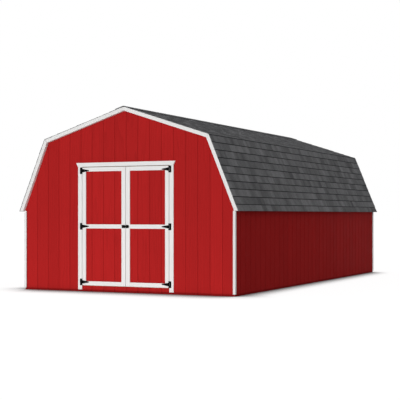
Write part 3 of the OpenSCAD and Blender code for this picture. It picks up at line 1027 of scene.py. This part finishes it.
plate_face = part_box("hinge_plates")[1].y - PLATE_T
hinge_x = {joint["child"]: joint["pos_m"][0]
           for joint in frame["record"]["behaviour"]["joints"] if joint["type"] == "hinge"}
plate_spots = []
for leaf, latch_node in (("left_door", "latch_keeper"), ("right_door", "latch_body")):
    pin = hinge_x[leaf]
    outer = math.copysign(1, pin)
    leaf_spots = []
    for height in hinge_heights:
        for rise in PLATE_SCREWS:
            spot = Vector((pin + outer * PLATE_SCREW_X, plate_face, height + rise))
            plate_spots.append((spot, FRONT))
        for reach in STRAP_SCREWS:
            spot = Vector((pin - outer * reach, plate_face, height))
            leaf_spots.append((spot, FRONT))
    leaf_spots += corner_spots(latch_node)
    set_heads(pan_screw(), leaf_spots, f"{leaf}_screws", leaf)
set_heads(pan_screw(), plate_spots, "hinge_plate_screws", "shed")

# Studio: the photograph's view before plain white, on a pale floor that keeps the shed's shadow.
# Soft light comes from the front and from the sky, and a weaker one keeps the rear gable from going dark.
# A white card on the floor before the front gable lights the undersides of its trim.
CAMERA_PLACE = (7.9528, -17.9316, 1.2063)
CAMERA_TURN = math.radians(25.089)
CAMERA_LENS = 95.02
CAMERA_FILM = 36
CAMERA_RISE = 0.0364
CAMERA_FAR = 500
WHITE = (1, 1, 1, 1)
AMBIENT_LOW = 0.56
AMBIENT_HIGH = 0.265
KEY_STRENGTH = 1.71
KEY_FROM = Vector((0.0, -1.0, 0.06))
REAR_STRENGTH = 1.3
REAR_FROM = Vector((-0.4, 1.0, 0.0))
LAMP_SPREAD = math.radians(14)
CARD_WIDTH = 5.5
CARD_LENGTH = 15.0
CARD_HEIGHT = 0.01
CARD_POWER = 130.0
FLOOR_SIZE = 300
FLOOR_DROP = 0.001
FLOOR_BOUNCE = (0.55, 0.55, 0.55, 1)
FLOOR_SHOWN = (0.30, 0.30, 0.30, 1)
FLOOR_GLOW = 0.90
SHADOW_SAMPLES = 16
SHADOW_FULL = 0.50
SHADOW_GONE = 0.95
SIDE_REACH = 0.50
FRONT_REACH = 0.78
REACH_CHANGE = 0.50


def bare_nodes(holder):
    """Turns on the nodes of a world or a material and empties them."""
    holder.use_nodes = True
    holder.node_tree.nodes.clear()
    return holder.node_tree


def seen_directly(tree):
    """1 for rays from the camera, from gloss and through glass, and 0 for the light on the shed."""
    path = add_node(tree, "LightPath").outputs
    eye = calc(tree, "MAXIMUM", path["Is Camera Ray"], path["Is Glossy Ray"])
    return calc(tree, "MAXIMUM", eye, path["Is Transmission Ray"])


scene = bpy.context.scene
scene.view_settings.view_transform = "Standard"
view = add_object("photo_view", bpy.data.cameras.new("photo_view"))
view.location = CAMERA_PLACE
view.rotation_euler = (math.radians(90), 0, CAMERA_TURN)
view.data.lens = CAMERA_LENS
view.data.sensor_width = CAMERA_FILM
view.data.shift_y = CAMERA_RISE
view.data.clip_end = CAMERA_FAR
scene.camera = view

scene.world = bpy.data.worlds.new("studio")
tree = bare_nodes(scene.world)
height = split(tree, add_node(tree, "TexCoord").outputs["Generated"])["Z"]
dome = fade(tree, height, 0.0, 1.0, AMBIENT_LOW, AMBIENT_HIGH)
soft = add_node(tree, "Background", {"Color": WHITE, "Strength": dome}).outputs[0]
plain = add_node(tree, "Background", {"Color": WHITE, "Strength": 1.0}).outputs[0]
shown = add_node(tree, "MixShader", {0: seen_directly(tree), 1: soft, 2: plain}).outputs[0]
add_node(tree, "OutputWorld", {"Surface": shown})

for name, strength, source in (("key_light", KEY_STRENGTH, KEY_FROM),
                               ("rear_light", REAR_STRENGTH, REAR_FROM)):
    lamp = add_object(name, bpy.data.lights.new(name, "SUN"))
    lamp.data.energy = strength
    lamp.data.angle = LAMP_SPREAD
    lamp.rotation_euler = source.to_track_quat("Z", "Y").to_euler()

front = cad_box[0].y
card = add_object("floor_card", bpy.data.lights.new("floor_card", "AREA"))
card.data.shape = "RECTANGLE"
card.data.size = CARD_WIDTH
card.data.size_y = CARD_LENGTH
card.data.energy = CARD_POWER
card.location = (cad_box[1].x - CARD_WIDTH / 2, front - CARD_LENGTH / 2, CARD_HEIGHT)
card.rotation_euler = (math.pi, 0, 0)
card.visible_camera = False
card.visible_glossy = False

ground = blank(bpy.ops.mesh.primitive_plane_add, size=FLOOR_SIZE, location=(0, 0, -FLOOR_DROP))
ground.name = "studio_floor"
material = bpy.data.materials.new("studio_floor")
tree = bare_nodes(material)
bounce = add_node(tree, "BsdfDiffuse", {"Color": FLOOR_BOUNCE}).outputs[0]
pale = add_node(tree, "BsdfDiffuse", {"Color": FLOOR_SHOWN}).outputs[0]
# The floor's contact shadow is painted: its glow fades where the shed hides nearby sky, over a longer reach
# before the front gable.
along = split(tree, object_place(tree))["Y"]
reach = fade(tree, along, front, front + REACH_CHANGE, FRONT_REACH, SIDE_REACH)
open_sky = add_node(tree, "AmbientOcclusion", {"Distance": reach}, samples=SHADOW_SAMPLES).outputs["AO"]
strength = fade(tree, open_sky, SHADOW_FULL, SHADOW_GONE, 0.0, FLOOR_GLOW)
glow = add_node(tree, "Emission", {"Color": WHITE, "Strength": strength}).outputs[0]
bright = add_node(tree, "AddShader", {0: pale, 1: glow}).outputs[0]
shown = add_node(tree, "MixShader", {0: seen_directly(tree), 1: bounce, 2: bright}).outputs[0]
add_node(tree, "OutputMaterial", {"Surface": shown})
ground.data.materials.append(material)
